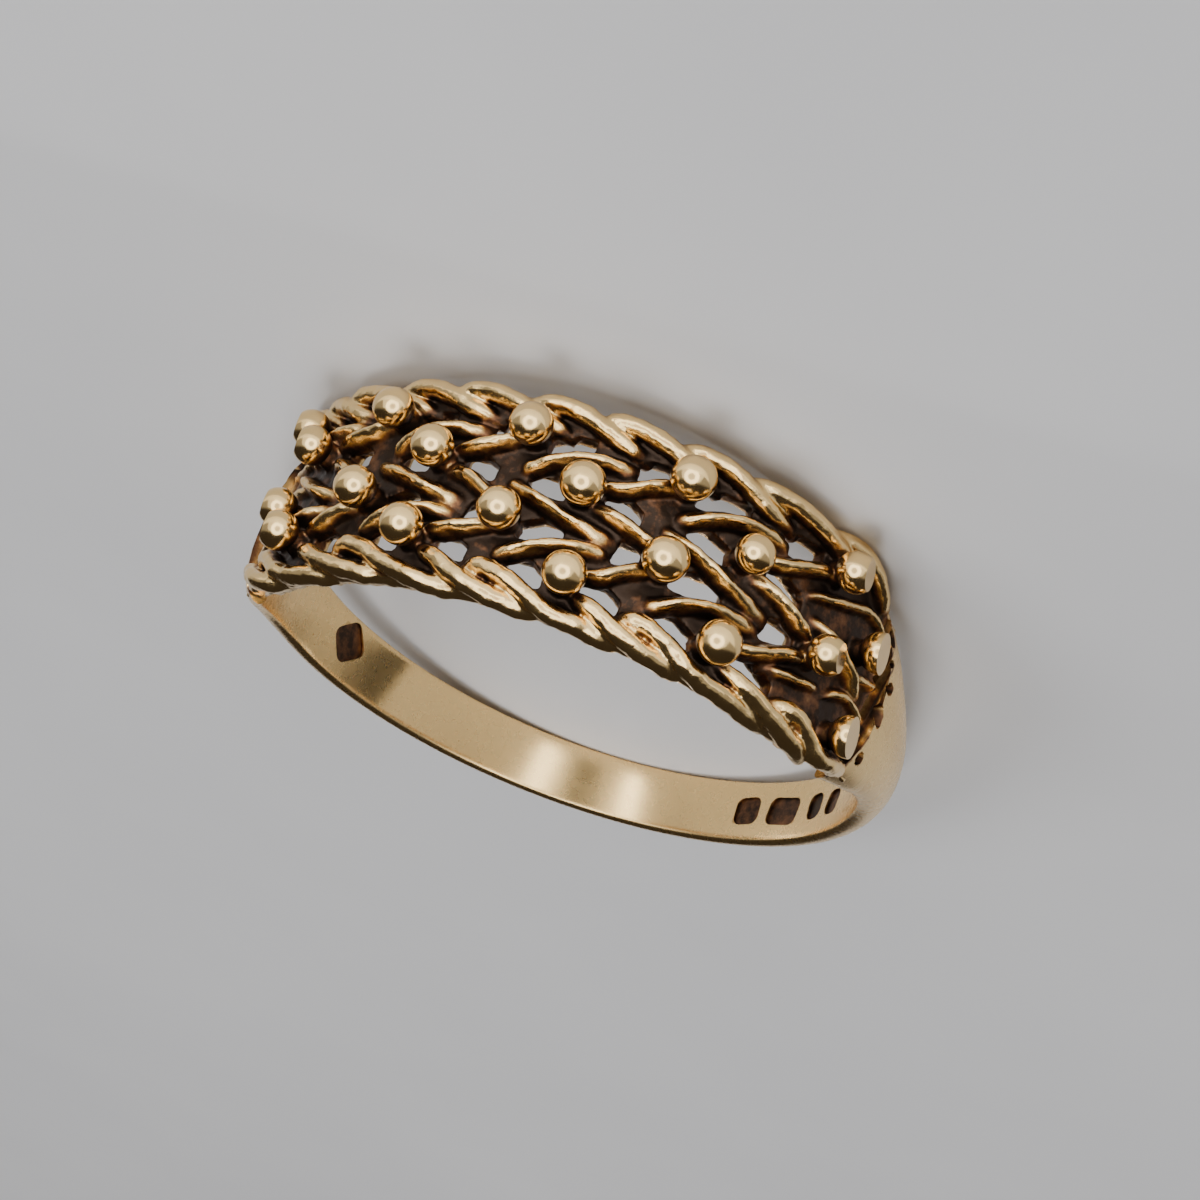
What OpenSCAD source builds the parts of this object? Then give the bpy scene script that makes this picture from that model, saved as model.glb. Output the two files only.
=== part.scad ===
// Keeper ring in cast yellow gold: a plain domed shank that widens into a woven openwork head set
// with four rows of granules. Millimetres. The ring lies on its side, with the head towards -Y.
// A place on the ring is an angle from the middle of the head, a height along the finger hole's
// axis and a radius from that axis.

/* [Finger hole] */
// Radius of the finger hole
bore_r = 9.0; // [8.4:0.1:9.1]

/* [Shank] */
// Half the shank's width at the back of the finger
shank_half_w = 1.04; // [0.9:0.01:1.3]
// Wall of the shank at its crown
shank_wall = 0.96; // [0.8:0.02:1.2]
// How far the shank's middle lies above the head's middle, along the axis
shank_offset = 0.30; // [0:0.05:0.4]

/* [Head] */
// Angle from the middle of the head to the shoulder's edge
shoulder_angle = 66.5; // [64:0.5:68]
// Full width of the weave, along the finger hole's axis
head_w = 6.46; // [6.3:0.02:6.6]
// Half the width of the pierced band under the weave
band_half_w = 2.72; // [2.6:0.02:2.9]
// Wall of the pierced band
band_wall = 0.50; // [0.4:0.02:0.55]

/* [Weave] */
// Half the width of a woven bar
bar_half_w = 0.21; // [0.18:0.01:0.24]
// Half the width of the two twisted borders' bars
rope_half_w = 0.25; // [0.22:0.01:0.27]
// Radius of the highest bars' tops
weave_top_r = 10.06; // [9.9:0.02:10.2]
// Radius at which the bars' feet stand in the pierced band
foot_r = 9.28; // [9.2:0.02:9.36]

/* [Granules] */
// Radius of a granule
granule_r = 0.585; // [0.5:0.005:0.62]
// Radius of the circle that the granules' centres lie on
granule_circle_r = 10.30; // [10.2:0.02:10.36]

// Angle of the flat to which the last granules are filed
filed_angle = 72; // [70:0.5:76]

/* [Marks] */
// Depth of the blank punch marks inside the shank
mark_depth = 0.12; // [0.05:0.01:0.15]

/* [Rest] */
// Tilt of the finger hole's axis towards the back as the ring lies on its side
rest_tilt = 9.43; // [0:0.01:12]
// Sideways lean of the finger hole's axis as the ring lies
rest_lean = 0.69; // [0:0.01:1]
// Place of the middle of the head's finger hole as the ring lies: across, back and up
rest_place = [0.003, 0.547, 2.238]; // [-1:0.001:5]

/* [Hidden] */
gold = [0.83, 0.70, 0.45];
shank_steps = 44;
inner_wall = 0.2;

// Angles of the ten columns of granules, from the left end of the head to the right.
columns = [-54.5, -46.5, -31.2, -19.5, -6.1, 6.0, 19.2, 31.2, 48.5, 59.0];
// Heights of the four rows of granules. Rows 0 and 2 stand on even columns, rows 1 and 3 on odd.
rows = [-1.85, -0.63, 0.63, 1.93];
// The weave repeats every two rows. Each base is a height of an odd row, the first one a row that
// would lie past the upper edge, where only its lower bars are made.
weave_bases = [-3.21, -0.63, 1.93];

// Bars of one repeat, from an odd column: [columns along, height over the base, drop below the top].
link_bar = [[0.02, -0.46, 0.30], [0.22, -0.64, 0.10], [0.46, -0.80, 0.06], [0.70, -1.04, 0.16],
    [0.92, -1.14, 0.36]];
arc_bar = [[-0.90, -0.34, 0.40], [-0.66, -0.62, 0.16], [-0.40, -0.93, 0.02], [-0.14, -1.12, 0.00],
    [0.12, -1.10, 0.12], [0.32, -0.92, 0.36]];
long_bar = [[-1.00, 0.20, 0.40], [-0.68, 0.38, 0.10], [-0.38, 0.58, 0.02], [-0.10, 0.80, 0.00],
    [0.20, 0.96, 0.12], [0.52, 0.98, 0.40]];
short_bar = [[0.10, 0.22, 0.36], [0.32, 0.30, 0.10], [0.54, 0.42, 0.04], [0.76, 0.62, 0.10],
    [0.98, 0.86, 0.34]];
rope_bar = [[-0.06, 0.30, 0.46], [0.14, 0.20, 0.16], [0.44, 0.26, 0.00], [0.78, 0.50, -0.02],
    [1.14, 0.76, 0.04], [1.48, 0.98, 0.20], [1.78, 1.00, 0.46], [2.02, 0.90, 0.66]];
// Where the two bars of each repeat start in the upper and in the lower border.
rope_starts = [[-1.30, -0.18], [], [-1.16, 0.16]];

// Outline of a woven bar over its feet: [across, up].
bar_outline = [[-1, -0.22], [-0.45, -0.02], [0.45, -0.02], [1, -0.22]];
// Outline of the shank's outer face: [part of its half width, part of its wall].
dome = [[-0.9, 0.1], [-1, 0.18], [-0.95, 0.40], [-0.83, 0.63], [-0.62, 0.83], [-0.34, 0.96], [0, 1],
    [0.34, 0.96], [0.62, 0.83], [0.83, 0.63], [0.95, 0.40], [1, 0.18], [0.9, 0.1]];
// Punch marks inside the shank: [angle, length around the bore, height].
marks = [[144.5, 1.0, 1.0], [134.5, 1.5, 1.0], [124.3, 0.7, 1.0], [117.5, 0.8, 0.9],
    [244.5, 1.3, 1.2]];

function column_angle(u) =
    let (i = max(0, min(len(columns) - 2, floor(u))))
    columns[i] + (u - i) * (columns[i + 1] - columns[i]);

function place(angle, z, r) = [-r * sin(angle), -r * cos(angle), z];

function unit(v) = v / norm(v);

// Joins a row of outlines with the same number of points into the faces of one closed solid.
function skin_faces(stations, n) = concat(
    [[for (k = [0 : n - 1]) k]],
    [for (i = [0 : stations - 2], k = [0 : n - 1])
        let (a = i * n + k, b = i * n + (k + 1) % n)
        [a, a + n, b + n, b]],
    [[for (k = [n - 1 : -1 : 0]) (stations - 1) * n + k]]);

// The shank's half width: narrow at the back, flaring over the last 40 degrees to the head.
function shank_half(angle) =
    let (turn = min(angle, 360 - angle))
    shank_half_w + 0.27 * pow((180 - turn) / 110, 2) + 1.36 * pow(max(0, 105 - turn) / 40, 2);

// The domed outside of the shank, from shoulder to shoulder round the back.
module shank_dome() {
    color(gold)
    polyhedron(
        [for (i = [0 : shank_steps], d = dome)
            let (a = shoulder_angle + i * (360 - 2 * shoulder_angle) / shank_steps)
            place(a, shank_offset + d[0] * shank_half(a), bore_r + d[1] * shank_wall)],
        skin_faces(shank_steps + 1, len(dome)), convexity = 6);
}

// Side view of the inner wall, a little narrower than the dome, so that its edges are eased.
module inner_outline() {
    turns = [60 : 4 : 180];
    polygon(concat(
        [for (a = turns) [-9.2 * cos(a), shank_offset + 0.94 * shank_half(a)]],
        [for (i = [0 : 30])
            let (a = 180 - 4 * i)
            [-9.2 * cos(a), shank_offset - 0.94 * shank_half(a)]]));
}

module inner_wall() {
    intersection() {
        translate([0, 0, -4])
        cylinder(h = 8, r = bore_r + inner_wall, $fn = 180);
        rotate([90, 0, 90])
        linear_extrude(height = 30, center = true)
        inner_outline();
    }
}

// Side view of the pierced band. Its ends narrow as they run in under the shoulders.
module band_outline() {
    edge = bore_r * -cos(shoulder_angle);
    polygon([[-10, -band_half_w], [edge - 0.5, -band_half_w], [edge + 0.6, -2.0], [edge + 0.6, 2.4],
        [edge - 0.2, band_half_w], [-10, band_half_w]]);
}

module head_band() {
    intersection() {
        translate([0, 0, -4])
        cylinder(h = 8, r = bore_r + band_wall, $fn = 180);
        rotate([90, 0, 90])
        linear_extrude(height = 30, center = true)
        band_outline();
    }
}

// One sloping opening of the weave, cut straight towards the middle of the ring.
module opening(angle, z, slope) {
    rotate([0, 0, -angle])
    translate([0, -bore_r + 1, z])
    rotate([90, 0, 0])
    linear_extrude(height = band_wall + 2)
    polygon([[-0.60, -0.22 - 0.14 * slope], [0, -0.36], [0.60, -0.22 + 0.14 * slope],
        [0.60, 0.22 + 0.14 * slope], [0, 0.36], [-0.60, 0.22 - 0.14 * slope]]);
}

module openings() {
    for (c = [1 : len(columns) - 3], row = [0 : len(rows) - 1])
        opening(column_angle(c + 0.5), rows[row] - 0.04, row % 2 == 0 ? 1 : -1);
}

module bore() {
    rotate([0, 0, -90])
    translate([0, 0, -6])
    cylinder(h = 12, r = bore_r, $fn = 180);
}

module punch_marks() {
    for (m = marks)
        rotate([0, 0, -m[0]])
        translate([0, -bore_r, shank_offset])
        cube([m[1], 2 * mark_depth, m[2]], center = true);
}

// The wall around the finger: plain inside the shank, pierced under the weave.
module bored_wall() {
    color(gold)
    difference() {
        union() {
            inner_wall();
            head_band();
        }
        bore();
        openings();
        punch_marks();
    }
}

module bar(path, column, base, half_w) {
    last = len(path) - 1;
    tops = [for (p = path)
        place(column_angle(column + p[0]), base + p[1], weave_top_r - p[2])];
    points = [for (i = [0 : last])
        let (
            along = unit(tops[min(i + 1, last)] - tops[max(i - 1, 0)]),
            out = unit([tops[i][0], tops[i][1], 0]),
            across = (i == 0 || i == last ? 0.6 : 1) * half_w * unit(cross(along, out)),
            foot = tops[i] - (weave_top_r - path[i][2] - foot_r) * out)
        each concat([foot - 0.8 * across],
            [for (b = bar_outline) tops[i] + b[0] * across + max(b[1], foot_r + 0.02 - weave_top_r + path[i][2]) * out],
            [foot + 0.8 * across])];
    polyhedron(points, skin_faces(last + 1, len(bar_outline) + 2), convexity = 4);
}

module weave() {
    color(gold)
    for (c = [1 : 2 : len(columns) - 1], k = [0 : len(weave_bases) - 1]) {
        base = weave_bases[k];
        if (k > 0) {
            bar(arc_bar, c, base, bar_half_w);
            if (c < len(columns) - 1)
                bar(link_bar, c, base, bar_half_w);
        }
        if (k == 1) {
            bar(long_bar, c, base, bar_half_w);
            if (c < len(columns) - 1)
                bar(short_bar, c, base, bar_half_w);
        } else {
            for (start = rope_starts[k])
                if (c + start < len(columns) - 1.5)
                    bar([for (p = rope_bar) [p[0] + start, p[1], p[2]]], c, base, rope_half_w);
        }
    }
}

module granule(angle, z) {
    rotate([0, 0, -angle])
    translate([0, -granule_circle_r, z])
    sphere(r = granule_r, $fn = 24);
    rotate([0, 0, -angle])
    translate([0, -bore_r - band_wall / 2, z])
    rotate([90, 0, 0])
    cylinder(h = granule_circle_r - bore_r - band_wall / 2, r = 0.62 * granule_r, $fn = 8);
}

// The granules next to the shoulders are filed flat with them.
module filed_flat(side) {
    rotate([0, 0, -side * filed_angle])
    translate([-6, -bore_r - shank_wall - 4, -6])
    cube([12, 4, 12]);
}

module granules() {
    color(gold)
    for (row = [0 : len(rows) - 1], i = [0 : 4]) {
        angle = columns[2 * i + row % 2];
        if (abs(angle) > 45)
            difference() {
                granule(angle, rows[row]);
                filed_flat(sign(angle));
            }
        else
            granule(angle, rows[row]);
    }
}

module keeper_ring() {
    bored_wall();
    shank_dome();
    resize([0, 0, head_w])
    weave();
    granules();
}

module at_rest() {
    translate(rest_place)
    rotate([-rest_tilt, -rest_lean, 0])
    children();
}

at_rest() keeper_ring();
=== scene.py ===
import math

import bmesh
import bpy
from mathutils import Matrix, Vector
from mathutils.bvhtree import BVHTree


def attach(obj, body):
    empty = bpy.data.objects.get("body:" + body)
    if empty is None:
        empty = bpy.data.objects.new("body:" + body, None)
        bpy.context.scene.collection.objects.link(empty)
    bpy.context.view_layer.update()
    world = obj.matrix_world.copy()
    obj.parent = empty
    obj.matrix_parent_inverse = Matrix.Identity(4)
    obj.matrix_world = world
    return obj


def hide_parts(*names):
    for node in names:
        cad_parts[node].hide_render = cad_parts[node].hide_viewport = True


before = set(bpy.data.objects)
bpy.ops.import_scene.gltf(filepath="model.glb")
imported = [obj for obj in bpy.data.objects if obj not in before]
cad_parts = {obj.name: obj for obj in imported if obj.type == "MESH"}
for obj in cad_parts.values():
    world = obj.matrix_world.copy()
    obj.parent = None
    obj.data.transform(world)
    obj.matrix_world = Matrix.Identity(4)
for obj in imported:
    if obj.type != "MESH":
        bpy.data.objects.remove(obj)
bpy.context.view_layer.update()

# The ring is shaped in its own frame, in millimetres: the finger hole runs along Z and the head
# faces -Y. A place is an angle in degrees from the middle of the head, more towards its right end,
# a height along Z, more towards the lower border, and a radius.

# The finger hole's radius, the shank's wall and its shift from the middle of the head, and the
# angle at which the shoulders start.
BORE = 9.0
SHANK_WALL = 0.96
SHANK_OFFSET = 0.30
SHOULDER = 66.5

# Half the shank's width at the back, what it gains on the way round, and what a shoulder adds.
SHANK_BACK_HALF = 1.04
SHANK_GAIN = 0.27
SHOULDER_GAIN = 1.36

# The edge of a shoulder bows this many degrees away from the weave in its middle, and comes this
# many nearer at its corners, over the first degrees of the shank. Its upper side is a part fuller.
BOW_MIDDLE = 1.5
BOW_CORNERS = 4.2
BOW_REACH = 8.0
UPPER_FULLNESS = 0.14

# The band under the weave: half its width, its wall, how far it runs on inside a shoulder, and the
# part of its half width that it loses there.
BAND_HALF = 2.72
BAND_WALL = 0.50
BAND_OVERLAP = 3.0
BAND_UPPER_LOSS = 0.16
BAND_LOWER_LOSS = 0.06

# Half the width of the weave and what it loses at the shoulders. It narrows over the last degrees.
WEAVE_HALF = 3.22
WEAVE_UPPER_LOSS = 0.74
WEAVE_LOWER_LOSS = 0.60
NARROWS_FROM = 52.0
NARROWS_OVER = 14.0

# The radius of the tops of the bars and of their feet, inside the band, and half the width of a bar
# and of a low ridge.
WEAVE_TOP = 10.06
BAR_FOOT = 9.25
BAR_HALF = 0.23
RIDGE_HALF = 0.17

# Half the width and the height of a rope wire, and how much of its size is left at its tips.
ROPE_HALF_WIDTH = 0.27
ROPE_HALF_HEIGHT = 0.32
ROPE_TIP = 0.65

# The solid core of each border: half its width and height, its radius, its height in the middle
# and at its upper and lower ends, and the angle of those.
CORE_HALF_WIDTH = 0.26
CORE_HALF_HEIGHT = 0.31
CORE_RADIUS = 9.32
CORE_AT = 2.80
CORE_ENDS_AT = {-1: 2.20, 1: 2.34}
CORE_END_ANGLE = 64

# The granules: radius, and the radius of the circle of their middles. Those near the shoulders are
# filed flat, facing the filed angle, with this much left beyond their middle.
GRANULE = 0.585
GRANULE_CIRCLE = 10.30
FILED_ANGLE = 80.0
FILED_FROM = 45
LAST_COLUMN_FROM = 55
LEFT_BY_FILE = 0.38
LEFT_BY_FILE_IN_LAST = 0.10

# Columns of granules from the left end of the head to the right, rows from the upper border down,
# and the heights from which the wires between them are measured.
COLUMNS = (-54.5, -46.5, -31.2, -19.5, -6.1, 6.0, 19.2, 31.2, 48.5, 59.0)
ROWS = (-1.85, -0.63, 0.63, 1.93)
WEAVE_BASES = (-3.21, -0.63, 1.93)

# Granules of each row from left to right: angle, height, size.
GRANULES = (
    ((-51.5, -1.68, 0.96), (-30.6, -1.82, 0.98), (-6.3, -1.81, 1.0), (18.8, -1.84, 1.05),
     (48.7, -1.97, 1.0)),
    ((-47.9, -0.98, 0.97), (-20.2, -0.68, 1.0), (4.3, -0.56, 1.04), (31.4, -0.71, 0.93),
     (59.4, -0.60, 1.0)),
    ((-50.0, 0.98, 0.96), (-31.2, 0.70, 1.0), (-5.8, 0.77, 1.0), (19.3, 0.58, 1.06),
     (48.8, 0.56, 0.96)),
    ((-45.8, 1.86, 0.98), (-19.6, 1.74, 1.0), (6.7, 1.97, 1.0), (31.0, 1.98, 1.03),
     (58.9, 2.00, 1.0)),
)

# A granule pulls the weave with it over this angle and height, and the weave resists a little.
PULL_ANGLE = 8.0
PULL_HEIGHT = 0.8
PULL_RESISTED = 0.15

# Bars of one repeat of the weave, from an odd column: columns along, height over the base, drop
# below the top, width.
LINK_WIRE = ((0.04, -0.30, 0.50, 0.9), (0.20, -0.38, 0.25, 0.9), (0.38, -0.46, 0.06, 1.0),
             (0.58, -0.73, 0.03, 1.0), (0.76, -0.96, 0.10, 1.0), (0.94, -1.14, 0.36, 1.0))
ARC_WIRE = ((-1.00, -0.22, 0.60, 1.3), (-0.85, -0.34, 0.26, 1.1), (-0.60, -0.61, 0.04, 1.0),
            (-0.33, -0.83, 0.00, 0.95), (-0.05, -0.98, 0.05, 1.0), (0.15, -1.04, 0.20, 1.1),
            (0.30, -1.04, 0.38, 1.2), (0.42, -1.00, 0.60, 1.3))
LONG_WIRE = ((-1.12, 0.20, 0.58, 1.2), (-0.95, 0.32, 0.26, 1.0), (-0.66, 0.50, 0.03, 0.95),
             (-0.38, 0.68, 0.02, 0.95), (-0.12, 0.86, 0.05, 1.0), (0.12, 0.97, 0.20, 1.1),
             (0.34, 1.07, 0.42, 1.25), (0.48, 1.12, 0.62, 1.35))
SHORT_WIRE = ((0.12, 0.22, 0.44, 1.3), (0.28, 0.30, 0.22, 1.1), (0.44, 0.40, 0.06, 1.0),
              (0.60, 0.58, 0.02, 1.0), (0.76, 0.74, 0.08, 1.0), (0.96, 0.90, 0.36, 1.0))

# Rope wires of the borders, in the same way, each a little under the next.
UPPER_WIRE = ((-0.30, 0.62, 0.62, 0.7), (-0.14, 0.50, 0.34, 0.9), (0.06, 0.40, 0.08, 1.0),
              (0.32, 0.37, 0.00, 1.0), (0.60, 0.46, 0.00, 1.0), (0.88, 0.64, 0.03, 1.0),
              (1.16, 0.84, 0.14, 1.0), (1.40, 0.96, 0.34, 0.9), (1.60, 1.02, 0.58, 0.8))
SADDLE_WIRE = ((-1.22, 0.44, 0.44, 1.1), (-1.06, 0.32, 0.14, 1.1), (-0.82, 0.36, 0.00, 1.0),
               (-0.50, 0.58, 0.00, 1.0), (-0.20, 0.84, 0.00, 1.0), (0.08, 1.00, 0.06, 1.0),
               (0.36, 1.08, 0.18, 1.0), (0.66, 1.06, 0.34, 0.95), (0.92, 0.96, 0.54, 0.8))
UNDER_WIRE = ((0.06, 0.14, 0.50, 0.9), (0.24, 0.32, 0.20, 0.9), (0.44, 0.50, 0.02, 1.0),
              (0.70, 0.74, 0.00, 1.0), (0.98, 0.92, 0.03, 1.0), (1.26, 1.02, 0.12, 1.0),
              (1.54, 1.06, 0.28, 0.95), (1.82, 0.98, 0.52, 0.8))

# The rope wires over each base, each with the columns by which it is shifted. One that would start
# before the first column named here, or this near the last column of granules, is left out.
ROPES = (((-1.10, UPPER_WIRE), (-0.12, UPPER_WIRE)), (), ((0, SADDLE_WIRE), (0, UNDER_WIRE)))
ROPES_FROM = -1.8
ROPES_END_BEFORE = 0.9

# Low ridges on the floor beyond the last openings: angle, height, drop below the top.
RIDGES = (
    ((43.5, -0.85, 0.70), (46.0, -1.02, 0.36), (50.0, -1.26, 0.24), (54.0, -1.50, 0.26),
     (58.5, -1.77, 0.30), (63.0, -1.70, 0.34), (67.0, -1.40, 0.40)),
    ((40.5, 1.62, 0.70), (43.0, 1.52, 0.40), (46.0, 1.43, 0.26), (50.0, 1.28, 0.28),
     (53.5, 1.12, 0.50)),
    ((53.0, 1.42, 0.70), (55.5, 1.10, 0.40), (58.0, 0.86, 0.26), (61.0, 0.74, 0.30),
     (66.5, 0.90, 0.36)),
    ((57.5, -0.10, 0.70), (60.5, 0.02, 0.40), (63.5, -0.08, 0.30), (67.0, -0.20, 0.30)),
    ((60.0, 1.36, 0.60), (63.0, 1.42, 0.36), (66.5, 1.30, 0.30)),
    ((-48.0, 0.16, 0.70), (-52.0, 0.02, 0.36), (-57.0, -0.10, 0.28), (-66.0, 0.10, 0.34)),
    ((-50.0, -1.30, 0.60), (-56.0, -1.10, 0.34), (-66.0, -1.20, 0.36)),
    ((-47.0, 1.42, 0.60), (-53.0, 1.50, 0.34), (-60.0, 1.40, 0.30), (-66.0, 1.50, 0.36)),
    ((-56.0, 2.30, 0.50), (-60.0, 2.20, 0.26), (-66.5, 2.10, 0.26)),
    ((-56.0, -2.20, 0.50), (-60.0, -2.10, 0.26), (-66.5, -1.90, 0.30)),
)

# An opening between two granules of a row: how far it reaches to the left, and to the right for
# each way of sloping, what the openings of the last columns add to that, half its height in the
# middle, and how much its slope lifts one end and lowers the other.
OPENING_LEFT = 0.62
OPENING_RIGHT = {1: 0.60, -1: 0.46}
LAST_OPENINGS_ADD = 0.30
LAST_OPENINGS_FROM = 6
OPENING_HALF = 0.36
OPENING_RISE = 0.14

# Half of the shank's outer side, from the edge to the top: part of its half width and of its wall.
SECTION_SIDE = ((0.90, 0.0), (0.955, 0.03), (0.985, 0.09), (1.0, 0.18), (0.985, 0.31), (0.95, 0.43),
                (0.89, 0.56), (0.80, 0.68), (0.68, 0.79), (0.53, 0.88), (0.36, 0.95), (0.18, 0.988))
SHANK_SECTION = tuple((-w, h) for w, h in SECTION_SIDE) + ((0.0, 1.0),) + SECTION_SIDE[::-1]

# Punch marks inside the shank: angle, shift, length round the finger hole, height, slope.
MARKS = ((144.5, 0.00, 0.95, 0.95, 6), (134.5, 0.02, 1.40, 0.95, -4), (124.3, 0.00, 0.70, 0.90, 8),
         (117.5, 0.02, 0.75, 0.85, -6), (242.6, -0.22, 1.25, 1.15, 40))
MARK_DEPTH = 0.08
MARK_CORNER = 0.28

# Pits in the edge of each shoulder: angle, height, length, width, slope.
PITS = ((65.4, -2.30, 0.40, 0.44, 10), (66.5, -1.75, 0.42, 0.80, -20), (67.6, -1.05, 0.30, 0.34, 25),
        (68.8, -0.40, 0.44, 0.56, 45), (68.2, 0.50, 0.50, 0.85, -20), (68.2, 1.84, 0.50, 0.56, 20),
        (65.5, 2.46, 0.42, 0.42, 50))
PIT_RADIUS = 9.90

# How the ring lies on its side: a lean of its axis towards the back, and the millimetres to metres.
LYING = (
    Matrix.Scale(0.001, 4)
    @ Matrix.Translation((0.003, 0.547, 2.238))
    @ Matrix.Rotation(math.radians(-0.69), 4, "Y")
    @ Matrix.Rotation(math.radians(-9.43), 4, "X")
)

# Turns a shape's own Z outwards, where it stands on the ring.
OUTWARDS = Matrix.Rotation(math.radians(90), 4, "X")


def ease(value, low, high):
    """Goes softly from 0 at the low value to 1 at the high one."""
    t = max(0.0, min(1.0, (value - low) / (high - low)))
    return t * t * (3 - 2 * t)


def place(angle, z, r):
    """The point at an angle round the finger hole, a height and a radius."""
    a = math.radians(angle)
    return Vector((-r * math.sin(a), -r * math.cos(a), z))


def angle_of(co):
    return math.degrees(math.atan2(-co.x, -co.y))


def turned(angle, z, r):
    """Stands a shape at that place, its X towards the left end, its -Y outwards and its Z along."""
    return Matrix.Rotation(math.radians(-angle), 4, "Z") @ Matrix.Translation((0, -r, z))


def sloped(degrees):
    """Slopes a shape that stands on the ring."""
    return Matrix.Rotation(math.radians(degrees), 4, "Y")


def column_angle(u):
    """The angle of a place that is counted in columns of granules."""
    i = max(0, min(len(COLUMNS) - 2, math.floor(u)))
    return COLUMNS[i] + (u - i) * (COLUMNS[i + 1] - COLUMNS[i])


def woven(u, z, r):
    """A place in the weave, which shifts a little with the listed granules around it."""
    angle = column_angle(u)
    total = PULL_RESISTED
    turn_shift = 0.0
    height_shift = 0.0
    for row, granules_of_row in enumerate(GRANULES):
        for i, (set_angle, set_z, _) in enumerate(granules_of_row):
            even_angle = COLUMNS[2 * i + row % 2]
            round_off = (angle - even_angle) / PULL_ANGLE
            along_off = (z - ROWS[row]) / PULL_HEIGHT
            near = math.exp(-round_off ** 2 - along_off ** 2)
            total += near
            turn_shift += near * (set_angle - even_angle)
            height_shift += near * (set_z - ROWS[row])
    return place(angle + turn_shift / total, z + height_shift / total, r)


def run_in(angle):
    """How far the head has narrowed at an angle: 0 in the middle, 1 close to the shoulder."""
    return max(0.0, (abs(angle) - NARROWS_FROM) / NARROWS_OVER)


def edge_limit(angle, z):
    """How far the weave may reach from its middle: less towards the shoulders, mostly above."""
    loss = WEAVE_UPPER_LOSS if z < 0 else WEAVE_LOWER_LOSS
    return WEAVE_HALF - loss * run_in(angle) ** 1.5


def add_piece(bm, name):
    """Makes the object of a finished shape."""
    mesh = bpy.data.meshes.new(name)
    bm.to_mesh(mesh)
    bm.free()
    piece = bpy.data.objects.new(name, mesh)
    bpy.context.scene.collection.objects.link(piece)
    return piece


def add_solid(bm, name):
    """Makes the object of a closed shape, its faces turned outwards."""
    bmesh.ops.recalc_face_normals(bm, faces=bm.faces)
    return add_piece(bm, name)


def spin_round(bm, face, degrees, steps, side=1):
    """Spins a section round the finger hole, towards larger angles, or smaller ones for side -1."""
    bmesh.ops.spin(bm, geom=[face], cent=(0, 0, 0), axis=(0, 0, -side),
                   angle=math.radians(degrees), steps=steps, use_merge=False)


def close_ends(bm):
    bmesh.ops.holes_fill(bm, edges=[e for e in bm.edges if e.is_boundary])


def apply_modifiers(piece):
    """Puts the mesh that the modifiers make in place of the piece's own."""
    bpy.context.view_layer.update()
    graph = bpy.context.evaluated_depsgraph_get()
    mesh = bpy.data.meshes.new_from_object(piece.evaluated_get(graph))
    old = piece.data
    name = old.name
    piece.modifiers.clear()
    piece.data = mesh
    bpy.data.meshes.remove(old)
    mesh.name = name


def cut_out(piece, other):
    """Cuts the other shape out of the piece and takes the other away."""
    cut = piece.modifiers.new("cut", "BOOLEAN")
    cut.object = other
    cut.solver = "EXACT"
    cut.operation = "DIFFERENCE"
    apply_modifiers(piece)
    bpy.data.objects.remove(other)


def smooth_path(points, steps=4):
    """A smooth run through the points, with that many steps between neighbours."""
    out = []
    last = len(points) - 1
    for i in range(last):
        p0 = points[max(i - 1, 0)]
        p1 = points[i]
        p2 = points[i + 1]
        p3 = points[min(i + 2, last)]
        for s in range(steps):
            t = s / steps
            out.append(0.5 * ((2 * p1) + (p2 - p0) * t + (2 * p0 - 5 * p1 + 4 * p2 - p3) * t * t
                              + (3 * p1 - p0 - 3 * p2 + p3) * t ** 3))
    out.append(points[last].copy())
    return out


def station_frame(stations, i):
    """Where a wire's section stands at a station, square to its run and stretched to its size."""
    centre, half_width, half_height = stations[i]
    after = stations[min(i + 1, len(stations) - 1)][0]
    along = (after - stations[max(i - 1, 0)][0]).normalized()
    out = Vector((centre.x, centre.y, 0)).normalized()
    across = along.cross(out).normalized()
    stand = Matrix.Identity(4)
    stand.col[0].xyz = across * half_width
    stand.col[1].xyz = across.cross(along).normalized() * half_height
    stand.col[2].xyz = along
    stand.col[3].xyz = centre
    return stand


def square_off(verts, squareness, foot):
    """Squares a round section a little. A foot makes its lower half straight and spreads it."""
    for v in verts:
        power = 0.4 if foot and v.co.y < 0.01 else squareness
        v.co.x = math.copysign(abs(v.co.x) ** power, v.co.x) * (1 - foot * v.co.y)
        v.co.y = math.copysign(abs(v.co.y) ** squareness, v.co.y)


def draw_wire(bm, stations, sides=12, squareness=1.0, foot=0.0):
    """Draws a wire through its stations, closed at both ends. Each station is a centre, a half
    width and a half height."""
    before = station_frame(stations, 0)
    made = bmesh.ops.create_circle(bm, cap_ends=True, segments=sides, radius=1.0)
    square_off(made["verts"], squareness, foot)
    bmesh.ops.transform(bm, matrix=before, verts=made["verts"])
    ring = list({e for v in made["verts"] for e in v.link_edges})
    for i in range(1, len(stations)):
        now = station_frame(stations, i)
        made = bmesh.ops.extrude_edge_only(bm, edges=ring)
        verts = [g for g in made["geom"] if isinstance(g, bmesh.types.BMVert)]
        ring = [g for g in made["geom"] if isinstance(g, bmesh.types.BMEdge)
                and all(v in verts for v in g.verts)]
        bmesh.ops.transform(bm, matrix=now @ before.inverted(), verts=verts)
        before = now
    bmesh.ops.holes_fill(bm, edges=ring)


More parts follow.
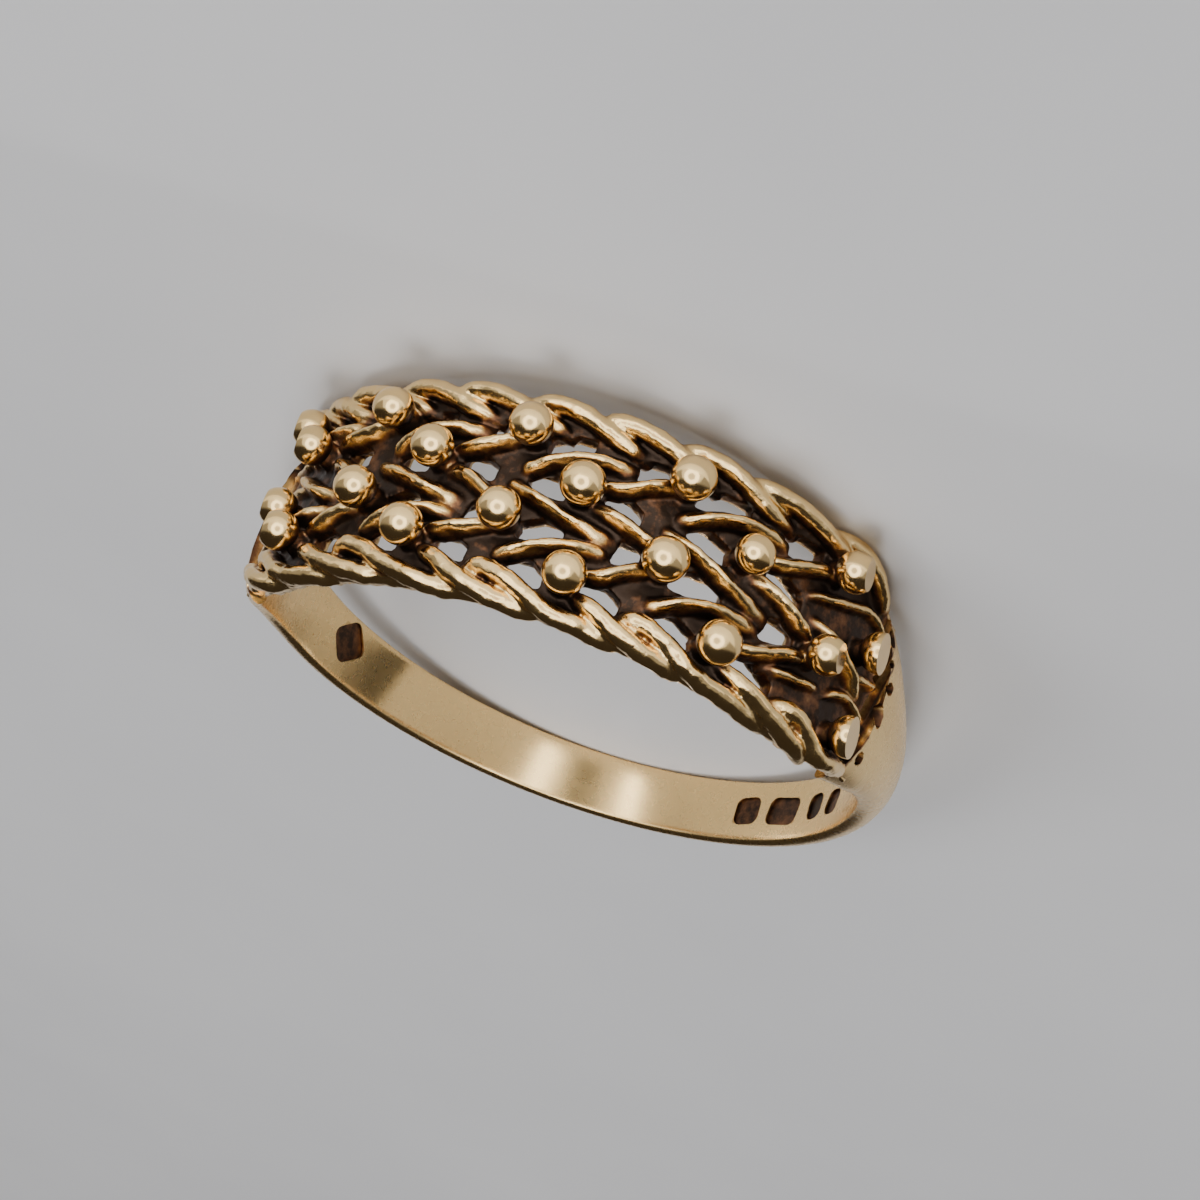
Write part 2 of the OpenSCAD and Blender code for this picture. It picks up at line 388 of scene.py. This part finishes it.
def bar(bm, tops, half_width=BAR_HALF):
    """A bar that stands on the band with sloping sides, its ends let down into it."""
    stations = []
    for top in smooth_path(tops):
        radius = math.hypot(top.x, top.y)
        half_height = (radius - BAR_FOOT) / 2
        centre = top.xyz * (1 - half_height / radius)
        centre.z = top.z
        stations.append((centre, half_width * top.w, half_height))
    draw_wire(bm, stations, squareness=0.92, foot=0.36)


def rope(bm, centres):
    """One wire of a twisted border, tapered at its tips and kept inside the edge of the weave."""
    centres = smooth_path(centres)
    stations = []
    for i, centre in enumerate(centres):
        from_tip = min(i, len(centres) - 1 - i) / 5
        size = centre.w * min(1.0, ROPE_TIP + (1 - ROPE_TIP) * from_tip)
        half_width = ROPE_HALF_WIDTH * size
        limit = edge_limit(angle_of(centre), centre.z) - half_width
        z = max(-limit, min(limit, centre.z))
        stations.append((Vector((centre.x, centre.y, z)), half_width, ROPE_HALF_HEIGHT * size))
    draw_wire(bm, stations)


def path_points(column, base, wire, depth=0.0):
    """The places of a wire's stations in the weave, each with its width."""
    return [Vector((*woven(column + u, base + h, WEAVE_TOP - drop - depth), width))
            for u, h, drop, width in wire]


def bars_and_ropes(bm):
    last = len(COLUMNS) - 1
    for column in range(-1, len(COLUMNS), 2):
        for k, base in enumerate(WEAVE_BASES):
            bars = []
            if k > 0 and 0 < column < last:
                bars += [ARC_WIRE, LINK_WIRE]
            if k == 1 and column > 0:
                bars.append(LONG_WIRE)
                if column < last:
                    bars.append(SHORT_WIRE)
            for wire in bars:
                bar(bm, path_points(column, base, wire))
            for shift, wire in ROPES[k]:
                starts_at = column + shift + wire[0][0]
                if ROPES_FROM < starts_at < last - ROPES_END_BEFORE:
                    rope(bm, path_points(column + shift, base, wire, ROPE_HALF_HEIGHT))


def low_ridges(bm):
    for ridge in RIDGES:
        tops = [Vector((*place(angle, z, WEAVE_TOP - drop), 1.0)) for angle, z, drop in ridge]
        bar(bm, tops, RIDGE_HALF)


def border_cores(bm):
    """The solid edge that the rope wires wrap round, above and below."""
    for side, end in CORE_ENDS_AT.items():
        stations = []
        for angle in range(-CORE_END_ANGLE, CORE_END_ANGLE + 1, 2):
            z = side * (CORE_AT + (end - CORE_AT) * run_in(angle))
            stations.append((place(angle, z, CORE_RADIUS), CORE_HALF_WIDTH, CORE_HALF_HEIGHT))
        draw_wire(bm, stations, sides=16)


def granule_posts(bm):
    """A short tapered post under each granule, down into the band."""
    for row in GRANULES:
        for angle, z, size in row:
            bmesh.ops.create_cone(bm, cap_ends=True, segments=16, radius1=0.44 * size,
                                  radius2=0.34 * size, depth=0.9,
                                  matrix=turned(angle, z, 9.60) @ OUTWARDS)


def shoulder_walls(bm):
    """Dark walls between the floor of the weave and the plain shoulders, a little lower and
    narrower than those."""
    start = 64.8
    thick = 2.4
    for side in (-1, 1):
        ring = [bm.verts.new(place(side * start, w * (0.95 if w < 0 else 0.86),
                                   BORE + 0.70 * h * SHANK_WALL)) for w, h in SHANK_SECTION]
        before = set(bm.verts)
        spin_round(bm, bm.faces.new(ring), thick, 3, side)
        for v in ring + [v for v in bm.verts if v not in before]:
            widen_shank(v, side)
        close_ends(bm)


def plain_band():
    """The band round the finger, narrower at the shoulders."""
    bm = bmesh.new()
    start = -SHOULDER - BAND_OVERLAP
    outline = ((BORE, -BAND_HALF), (BORE + BAND_WALL, -BAND_HALF),
               (BORE + BAND_WALL, BAND_HALF), (BORE, BAND_HALF))
    face = bm.faces.new([bm.verts.new(place(start, z, r)) for r, z in outline])
    spin_round(bm, face, -2 * start, 112)
    close_ends(bm)
    for v in bm.verts:
        loss = BAND_UPPER_LOSS if v.co.z < 0 else BAND_LOWER_LOSS
        v.co.z *= 1 - loss * run_in(angle_of(v.co))
    return add_solid(bm, "head")


def openings():
    """A sloping hole between each two granules of a row, six-sided, its rows sloping in turns."""
    bm = bmesh.new()
    for column in range(1, len(COLUMNS) - 2):
        for row, z in enumerate(ROWS):
            slope = 1 if row % 2 == 0 else -1
            rise = OPENING_RISE * slope
            right = -OPENING_RIGHT[slope]
            if column >= LAST_OPENINGS_FROM:
                right -= LAST_OPENINGS_ADD
            outline = ((right, -0.24 - rise), (0, -OPENING_HALF), (OPENING_LEFT, -0.22 + rise),
                       (OPENING_LEFT, 0.24 + rise), (0, OPENING_HALF), (right, 0.22 - rise))
            middle = woven(column + 0.5, z - 0.04, BORE)
            stand = turned(angle_of(middle), middle.z, BORE - 1)
            face = bm.faces.new([bm.verts.new(stand @ Vector((x, 0, y))) for x, y in outline])
            out = bmesh.ops.extrude_face_region(bm, geom=[face], use_keep_orig=True)
            moved = [g for g in out["geom"] if isinstance(g, bmesh.types.BMVert)]
            bmesh.ops.translate(bm, verts=moved, vec=stand.to_3x3() @ Vector((0, -2.5, 0)))
    return add_solid(bm, "openings")


def cast_together(head):
    """Melts the parts of the head into one skin, rounds its corners and gives it a cast grain."""
    cast = head.modifiers.new("cast", "REMESH")
    cast.mode = "VOXEL"
    cast.voxel_size = 0.05
    soft = head.modifiers.new("soft", "SMOOTH")
    soft.factor = 0.5
    soft.iterations = 2
    grain = bpy.data.textures.new("casting_grain", "CLOUDS")
    grain.noise_scale = 0.45
    uneven = head.modifiers.new("uneven", "DISPLACE")
    uneven.texture = grain
    uneven.texture_coords = "LOCAL"
    uneven.strength = 0.09
    uneven.mid_level = 0.5
    thin = head.modifiers.new("thin", "DECIMATE")
    thin.ratio = 0.41
    apply_modifiers(head)


def smooth_bore(head):
    """Makes the inside of the head round and plain again, a hair wider inside the shoulders."""
    skin = 0.09
    wider = 0.03
    for v in head.data.vertices:
        r = math.hypot(v.co.x, v.co.y)
        if r < BORE + skin:
            smooth = (BORE + wider * ease(abs(angle_of(v.co)), 58, 69)) / r
            v.co = (v.co.x * smooth, v.co.y * smooth, v.co.z)


def make_head():
    """One casting of the pierced band, its bars, ropes and posts, and the walls at its ends."""
    head = plain_band()
    cut_out(head, openings())
    bm = bmesh.new()
    bm.from_mesh(head.data)
    bars_and_ropes(bm)
    low_ridges(bm)
    border_cores(bm)
    granule_posts(bm)
    shoulder_walls(bm)
    bm.to_mesh(head.data)
    bm.free()
    cast_together(head)
    smooth_bore(head)
    return head


def shank_half(angle):
    """Half the shank's width: narrow at the back, slowly wider, and flared at the shoulders."""
    turn = min(abs(angle), 360 - abs(angle))
    way_round = (180 - turn) / 110
    flare = max(0.0, (105 - turn) / 40)
    return SHANK_BACK_HALF + SHANK_GAIN * way_round ** 2 + SHOULDER_GAIN * flare ** 2


def widen_shank(v, side):
    """Gives a point, whose height is a part of the half width, its own, and bows the edge of the
    shoulder."""
    turn = abs(angle_of(v.co))
    part = v.co.z
    near_edge = max(0.0, (SHOULDER + BOW_REACH - turn) / BOW_REACH)
    bow = (BOW_MIDDLE - BOW_CORNERS * part ** 2) * near_edge
    r = math.hypot(v.co.x, v.co.y)
    fuller = 1.0 + (UPPER_FULLNESS * ease(84 - turn, 0, 16) if part < 0 else 0.0)
    v.co = place(side * (turn + bow), SHANK_OFFSET + part * shank_half(turn) * fuller, r)


def plain_shank():
    """Spins the domed section round the back, then widens it towards the shoulders."""
    bm = bmesh.new()
    flat_side = tuple((0.9 - 0.12 * k, 0.0) for k in range(1, 15))
    verts = [bm.verts.new(place(SHOULDER, w, BORE + h * SHANK_WALL))
             for w, h in SHANK_SECTION + flat_side]
    spin_round(bm, bm.faces.new(verts), 360 - 2 * SHOULDER, 180)
    for v in bm.verts:
        widen_shank(v, 1 if angle_of(v.co) > 0 else -1)
    close_ends(bm)
    return add_solid(bm, "shank")


def punch_marks(bm):
    """Blank marks with rounded corners, pressed into the inside of the shank."""
    for angle, shift, length, height, slope in MARKS:
        stand = turned(angle, SHANK_OFFSET + shift, BORE) @ sloped(slope)
        size = Matrix.Diagonal((length, 2 * MARK_DEPTH, height, 1))
        made = bmesh.ops.create_cube(bm, size=1, matrix=stand @ size)
        upright = [e for e in {e for v in made["verts"] for e in v.link_edges}
                   if e.calc_length() < 3 * MARK_DEPTH]
        bmesh.ops.bevel(bm, geom=upright, offset=MARK_CORNER, segments=4, profile=0.5,
                        affect="EDGES", material=-1)


def shoulder_pits(bm):
    """Pits that narrow inwards, the same in both shoulders."""
    for side in (-1, 1):
        for angle, z, length, width, slope in PITS:
            stand = turned(side * angle, z, PIT_RADIUS) @ sloped(slope) @ OUTWARDS
            size = Matrix.Diagonal((length / 2, width / 2, 1, 1))
            bmesh.ops.create_cone(bm, cap_ends=True, segments=8, radius1=0.60, radius2=1.1,
                                  depth=0.8, matrix=stand @ size)


def make_shank():
    shank = plain_shank()
    bm = bmesh.new()
    punch_marks(bm)
    shoulder_pits(bm)
    cut_out(shank, add_solid(bm, "recesses"))
    return shank


def file_flat(bm, verts, angle, z):
    """Takes off the side of a granule that faces the shoulder, and closes it with a flat."""
    normal = place(math.copysign(FILED_ANGLE, angle), 0, 1)
    left = LEFT_BY_FILE_IN_LAST if abs(angle) > LAST_COLUMN_FROM else LEFT_BY_FILE
    edges = {e for v in verts for e in v.link_edges}
    faces = {f for v in verts for f in v.link_faces}
    cut = bmesh.ops.bisect_plane(bm, geom=verts + list(edges | faces), dist=1e-5,
                                 plane_co=place(angle, z, GRANULE_CIRCLE) + normal * left,
                                 plane_no=normal, clear_outer=True)
    rim = [g for g in cut["geom_cut"] if isinstance(g, bmesh.types.BMEdge)]
    if rim:
        bmesh.ops.holes_fill(bm, edges=rim)


def make_granules():
    """The granules in one piece, each a slightly flattened ball."""
    bm = bmesh.new()
    flattened = Matrix.Diagonal((1.02, 1.0, 0.97, 1))
    for row in GRANULES:
        for angle, z, size in row:
            stand = turned(angle, z, GRANULE_CIRCLE) @ OUTWARDS @ flattened
            made = bmesh.ops.create_uvsphere(bm, u_segments=40, v_segments=26,
                                             radius=GRANULE * size, matrix=stand)
            if abs(angle) > FILED_FROM:
                file_flat(bm, made["verts"], angle, z)
    return add_solid(bm, "granules")


# A rubbed part over 1 keeps a point bright however sheltered it is.
ALWAYS_BRIGHT = 2.0

# Up to this angle the shank counts as the edge of a shoulder.
SHOULDER_EDGE = 71


def rubbed_and_shaded_head(co, normal):
    """Partly rubbed wear and partly painted light: the tops of the wires and the outer edges are
    rubbed, the floor between them is not, and the wires' flanks get painted shade so that only their
    tops stay bright, like painted highlights.
    """
    r = math.hypot(co.x, co.y)
    outwards = (co.x * normal.x + co.y * normal.y) / r
    if outwards < -0.6:
        return ALWAYS_BRIGHT if abs(angle_of(co)) > 60 else 0.85
    edge = ease(abs(co.z) - edge_limit(angle_of(co), co.z), -0.40, -0.15)
    if r < BORE + BAND_WALL and edge < 0.2:
        return 0.60 if abs(outwards) < 0.6 else 0.30
    # The crest is brighter higher up, for rubbed wear, and darker where it faces sideways, as
    # painted shade on the wires' flanks.
    crest = ease(r, 9.48, 9.84) * (0.30 + 0.70 * ease(outwards, 0.05, 0.70))
    return 0.32 + 0.68 * max(crest, 0.9 * edge)


def rubbed_granules(co, normal):
    """The granules are rubbed on their outer halves."""
    return 0.40 + 0.60 * ease(math.hypot(co.x, co.y), 9.90, 10.35)


def dome_height(part):
    """The height of the domed section over the finger hole, as a part of the wall, and 0 in the
    rounding of its edges."""
    edge_rounding = 0.3
    for (w0, h0), (w1, h1) in zip(SHANK_SECTION, SHANK_SECTION[1:]):
        if w0 <= part <= w1 and min(h0, h1) > edge_rounding:
            return h0 + (h1 - h0) * (part - w0) / (w1 - w0)
    return 0.0


def rubbed_mark(co, r, angle):
    """The part for a point in or close round a punch mark, and none for any other."""
    for mark, shift, length, height, _ in MARKS:
        away = abs((angle - mark + 180) % 360 - 180) * math.radians(BORE)
        beyond = max(away - length / 2, abs(co.z - SHANK_OFFSET - shift) - height / 2)
        if beyond < 0.25:
            return 0.22 if r > BORE + MARK_DEPTH / 2 else 0.50 + 0.5 * ease(beyond, -0.1, 0.25)
    return None


def rubbed_shoulder(co, normal, r, angle):
    """Sheltered are the pits and the end that faces the weave, but not its lower corner."""
    across = (co.z - SHANK_OFFSET) / shank_half(angle)
    if across > 0.90:
        return ALWAYS_BRIGHT
    dome = BORE + SHANK_WALL * dome_height(across)
    if BORE + 0.05 < r < dome - 0.10:
        return 0.12
    if r <= BORE + 0.1:
        return 1.0
    turn = math.radians(angle)
    towards_left = normal.x * math.cos(turn) - normal.y * math.sin(turn)
    towards_head = towards_left if angle > 0 else -towards_left
    return 1.0 - 0.85 * ease(towards_head, 0.2, 0.7)


def rubbed_shank(co, normal):
    """The shank is rubbed all over, apart from its punch marks and the ends of its shoulders."""
    r = math.hypot(co.x, co.y)
    angle = angle_of(co)
    if abs(angle) < SHOULDER_EDGE:
        return rubbed_shoulder(co, normal, r, angle)
    part = rubbed_mark(co, r, angle) if r < BORE + 0.3 else None
    return 1.0 if part is None else part


def wear_and_shade_map(pieces, reach=1.3, rays=18):
    """Marks each point of the pieces with how open it is, times its part from the rubbed functions:
    0 deep in a recess, 1 rubbed bright. On the head that part also holds the painted shade of the
    wires' flanks.
    """
    whole = bmesh.new()
    for piece, _ in pieces:
        whole.from_mesh(piece.data)
    tree = BVHTree.FromBMesh(whole)
    whole.free()
    golden_angle = 2.399963
    spread = []
    for k in range(rays):
        up = 1 - (k + 0.5) / rays
        turn = k * golden_angle
        flat = math.sqrt(1 - up)
        spread.append(Vector((flat * math.cos(turn), flat * math.sin(turn), math.sqrt(up))))
    for piece, rubbed in pieces:
        mesh = piece.data
        values = []
        for v in mesh.vertices:
            part = rubbed(v.co, v.normal)
            if part == ALWAYS_BRIGHT:
                values.append(1.0)
                continue
            stand = v.normal.to_track_quat("Z", "X")
            start = v.co + v.normal * 0.02
            open_share = 0.0
            for ray in spread:
                hit = tree.ray_cast(start, stand @ ray, reach)
                open_share += 1.0 if hit[0] is None else hit[3] / reach * 0.6
            values.append(open_share / rays * part)
        wear_and_shade = mesh.attributes.new("wear_and_shade", "FLOAT", "POINT")
        wear_and_shade.data.foreach_set("value", values)


class Finish:
    """Builds one material's nodes by short calls."""

    def __init__(self, name):
        self.material = bpy.data.materials.new(name)
        self.material.use_nodes = True
        self.tree = self.material.node_tree
        self.shader = self.tree.nodes["Principled BSDF"]

    def node(self, kind, **settings):
        made = self.tree.nodes.new("ShaderNode" + kind)
        for key, value in settings.items():
            setattr(made, key, value)
        return made

    def join(self, source, target):
        self.tree.links.new(source, target)

    def noise(self, scale, detail, roughness=0.6):
        where = self.node("TexCoord")
        made = self.node("TexNoise")
        made.inputs["Scale"].default_value = scale
        made.inputs["Detail"].default_value = detail
        made.inputs["Roughness"].default_value = roughness
        self.join(where.outputs["Object"], made.inputs["Vector"])
        return made.outputs["Fac"]

    def add(self, a, b):
        made = self.node("Math", operation="ADD")
        self.join(a, made.inputs[0])
        self.join(b, made.inputs[1])
        return made.outputs[0]

    def spread(self, value, low, high, to_low=0.0, to_high=1.0):
        made = self.node("MapRange", clamp=True)
        self.join(value, made.inputs["Value"])
        made.inputs["From Min"].default_value = low
        made.inputs["From Max"].default_value = high
        made.inputs["To Min"].default_value = to_low
        made.inputs["To Max"].default_value = to_high
        return made.outputs["Result"]

    def ramp(self, value, stops):
        made = self.node("ValToRGB")
        self.join(value, made.inputs["Fac"])
        line = made.color_ramp
        while len(line.elements) < len(stops):
            line.elements.new(0.5)
        for element, (at, colour) in zip(line.elements, stops):
            element.position = at
            element.color = (*colour, 1)
        return made.outputs["Color"]


# The colours of the gold, from the most sheltered to the most rubbed. The dark ones are tarnish, and
# on the flanks of the head's wires they are painted shade.
SHADE_AND_TARNISH_BLACK = (0.045, 0.030, 0.022)
SHADE_AND_TARNISH_RED = (0.19, 0.088, 0.044)
DULL_GOLD = (0.46, 0.27, 0.10)
BRIGHT_GOLD = (0.92, 0.64, 0.28)
TARNISHED_ROUGHNESS = 0.44


def tarnished_and_shaded_gold(name, low, high, grain, polish, scuffed):
    """Old gold, brown to black where the wear value, which on the head also holds painted shade, is
    under the low value and bright over the high one, with the depth of its grain, its roughness
    where it is rubbed and what scuffs add to that."""
    finish = Finish(name)
    wear_and_shade = finish.node("Attribute", attribute_name="wear_and_shade").outputs["Fac"]
    blotches = finish.spread(finish.noise(1500, 5, 0.7), 0.3, 0.7, -0.16, 0.16)
    open_part = finish.spread(finish.add(wear_and_shade, blotches), low, high)
    colour = finish.ramp(open_part, ((0.0, SHADE_AND_TARNISH_BLACK), (0.3, SHADE_AND_TARNISH_RED), (0.55, DULL_GOLD),
                                     (0.85, BRIGHT_GOLD)))
    finish.join(colour, finish.shader.inputs["Base Color"])
    rough = finish.spread(open_part, 0.1, 0.9, TARNISHED_ROUGHNESS, polish)
    scuffs = finish.spread(finish.noise(2400, 2), 0.45, 0.75, 0.0, scuffed)
    finish.join(finish.add(rough, scuffs), finish.shader.inputs["Roughness"])
    finish.shader.inputs["Metallic"].default_value = 1.0
    bump = finish.node("Bump")
    bump.inputs["Strength"].default_value = grain
    bump.inputs["Distance"].default_value = 0.00003
    finish.join(finish.noise(3800, 4, 0.7), bump.inputs["Height"])
    finish.join(bump.outputs["Normal"], finish.shader.inputs["Normal"])
    return finish.material


shank = make_shank()
head = make_head()
granules = make_granules()
for piece in (shank, head, granules):
    piece.data.update()
wear_and_shade_map(((shank, rubbed_shank), (head, rubbed_and_shaded_head), (granules, rubbed_granules)))

cast_gold = tarnished_and_shaded_gold("cast_gold", 0.23, 0.78, 0.45, 0.18, 0.07)
granule_gold = tarnished_and_shaded_gold("granule_gold", 0.20, 0.84, 0.06, 0.16, 0.07)
polished_gold = tarnished_and_shaded_gold("polished_gold", 0.10, 0.66, 0.0, 0.27, 0.02)

for piece, finish in ((shank, polished_gold), (head, cast_gold), (granules, granule_gold)):
    piece.data.transform(LYING)
    piece.data.shade_smooth()
    piece.data.materials.clear()
    piece.data.materials.append(finish)
    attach(piece, "root")
for piece in (shank, granules):
    piece.data.set_sharp_from_angle(angle=math.radians(35))
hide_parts("keeper_ring")

# From here on the sizes are metres, in the frame in which the ring lies.
RING_MIDDLE = Vector((0, 0, 0.003))


def soft_light(name, where, size, power):
    """A round lamp that faces the ring and isn't mirrored in it."""
    data = bpy.data.lights.new(name, "AREA")
    data.shape = "DISK"
    data.size = size
    data.energy = power
    light = bpy.data.objects.new(name, data)
    light.location = where
    light.rotation_euler = (RING_MIDDLE - Vector(where)).to_track_quat("-Z", "Y").to_euler()
    light.visible_glossy = False
    bpy.context.scene.collection.objects.link(light)


def make_floor():
    bm = bmesh.new()
    bmesh.ops.create_grid(bm, x_segments=1, y_segments=1, size=3.0)
    floor = add_piece(bm, "floor")
    finish = Finish("pale_floor")
    cloudy = finish.spread(finish.noise(28, 4), 0.3, 0.7)
    colour = finish.ramp(cloudy, ((0.0, (0.60, 0.60, 0.615)), (1.0, (0.66, 0.66, 0.67))))
    finish.join(colour, finish.shader.inputs["Base Color"])
    finish.shader.inputs["Roughness"].default_value = 0.9
    floor.data.materials.append(finish.material)


def lit_card(name, bm, brightness):
    """A glowing stage piece that shows only in the gold."""
    card = add_piece(bm, name)
    glow = Finish(name)
    glow.shader.inputs["Base Color"].default_value = (0, 0, 0, 1)
    glow.shader.inputs["Emission Color"].default_value = (1, 1, 1, 1)
    glow.shader.inputs["Emission Strength"].default_value = brightness
    card.data.materials.append(glow.material)
    card.visible_camera = False
    card.visible_diffuse = False
    card.visible_shadow = False
    return card


def ring_light():
    """A round lamp about the camera's line, seen in the gold as a small bright ring."""
    inner_radius = 0.021
    widening = 2.4
    distance = 0.08
    elevation = math.radians(28)
    bm = bmesh.new()
    made = bmesh.ops.create_circle(bm, segments=48, radius=inner_radius)
    ring = list({e for v in made["verts"] for e in v.link_edges})
    out = bmesh.ops.extrude_edge_only(bm, edges=ring)
    verts = [g for g in out["geom"] if isinstance(g, bmesh.types.BMVert)]
    bmesh.ops.scale(bm, vec=(widening, widening, 1), verts=verts)
    lamp = lit_card("ring_light", bm, 3.6)
    where = Vector((-0.003, -distance * math.cos(elevation), distance * math.sin(elevation)))
    lamp.location = where
    lamp.rotation_euler = where.to_track_quat("Z", "Y").to_euler()


def front_card():
    """A white card that lies in front of the ring and stands up far behind the camera."""
    bm = bmesh.new()
    near = [bm.verts.new((x, -0.0125, 0.0004)) for x in (-2.0, 2.0)]
    edge = bm.edges.new(near)
    for step in ((0, -1.50, 0), (0, 0, 1.80)):
        out = bmesh.ops.extrude_edge_only(bm, edges=[edge])
        edge = next(g for g in out["geom"] if isinstance(g, bmesh.types.BMEdge)
                    and all(v in out["geom"] for v in g.verts))
        bmesh.ops.translate(bm, verts=list(edge.verts), vec=step)
    lit_card("front_card", bm, 1.20)


# Narrow cards inside the finger hole: name, place on the floor, turn, width, brightness.
INNER_CARDS = (
    ("bright_card_1", 0.00150, 0.0076, 12, 0.0005, 4.5),
    ("dark_card_1", 0.00062, 0.0076, -6, 0.0006, 0.02),
    ("bright_card_2", -0.00045, 0.0077, -26, 0.0004, 7.5),
    ("dark_card_2", 0.00565, 0.0058, 84, 0.0010, 0.05),
)
INNER_CARD_HEIGHT = 0.0022
INNER_CARD_MIDDLE = 0.0013


def inner_cards():
    """The shank mirrors these cards as bright and dark bands."""
    for name, x, y, turn, width, brightness in INNER_CARDS:
        bm = bmesh.new()
        stand = (Matrix.Translation((x, y, INNER_CARD_MIDDLE))
                 @ Matrix.Rotation(math.radians(turn), 4, "Z") @ OUTWARDS
                 @ Matrix.Diagonal((width, INNER_CARD_HEIGHT, 1, 1)))
        bmesh.ops.create_grid(bm, x_segments=1, y_segments=1, size=0.5, matrix=stand)
        lit_card(name, bm, brightness)


def tent_world():
    """Surroundings of a small photo tent: pale walls, and a dark top that leans to the back."""
    world = bpy.data.worlds.new("tent")
    world.use_nodes = True
    tree = world.node_tree
    where = tree.nodes.new("ShaderNodeTexCoord")
    towards = tree.nodes.new("ShaderNodeVectorMath")
    towards.operation = "DOT_PRODUCT"
    towards.inputs[1].default_value = (0.0, 0.60, 0.80)
    tree.links.new(where.outputs["Generated"], towards.inputs[0])
    ramp = tree.nodes.new("ShaderNodeValToRGB")
    tree.links.new(towards.outputs["Value"], ramp.inputs["Fac"])
    wall, top = ramp.color_ramp.elements
    wall.position = 0.20
    wall.color = (0.36, 0.36, 0.37, 1)
    top.position = 0.36
    top.color = (0.040, 0.034, 0.030, 1)
    tree.links.new(ramp.outputs["Color"], tree.nodes["Background"].inputs["Color"])
    tree.nodes["Background"].inputs["Strength"].default_value = 1.0
    bpy.context.scene.world = world


def photo_camera():
    """The camera keeps the photograph's angle to the ring, fitted in the ring's own frame."""
    data = bpy.data.cameras.new("camera")
    data.lens = 75.0
    data.sensor_width = 36.0
    data.clip_start = 0.001
    camera = bpy.data.objects.new("camera", data)
    seen = Matrix.Identity(4)
    seen.col[0].xyz = (-0.93656, 0.06810, -0.34384)
    seen.col[1].xyz = (0.28247, -0.43416, -0.85540)
    seen.col[2].xyz = (-0.20753, -0.89826, 0.38738)
    seen.col[3].xyz = (-15.3275, -66.513, 26.6849)
    where, turn, _ = (LYING @ seen).decompose()
    camera.matrix_world = Matrix.Translation(where) @ turn.to_matrix().to_4x4()
    bpy.context.scene.collection.objects.link(camera)
    bpy.context.scene.camera = camera


make_floor()
soft_light("overhead", (0.0, 0.0, 0.30), 0.16, 0.49)
soft_light("front", (-0.04, -0.13, 0.25), 0.13, 0.17)
soft_light("side", (0.22, -0.12, 0.20), 0.16, 0.34)
ring_light()
front_card()
inner_cards()
tent_world()
photo_camera()
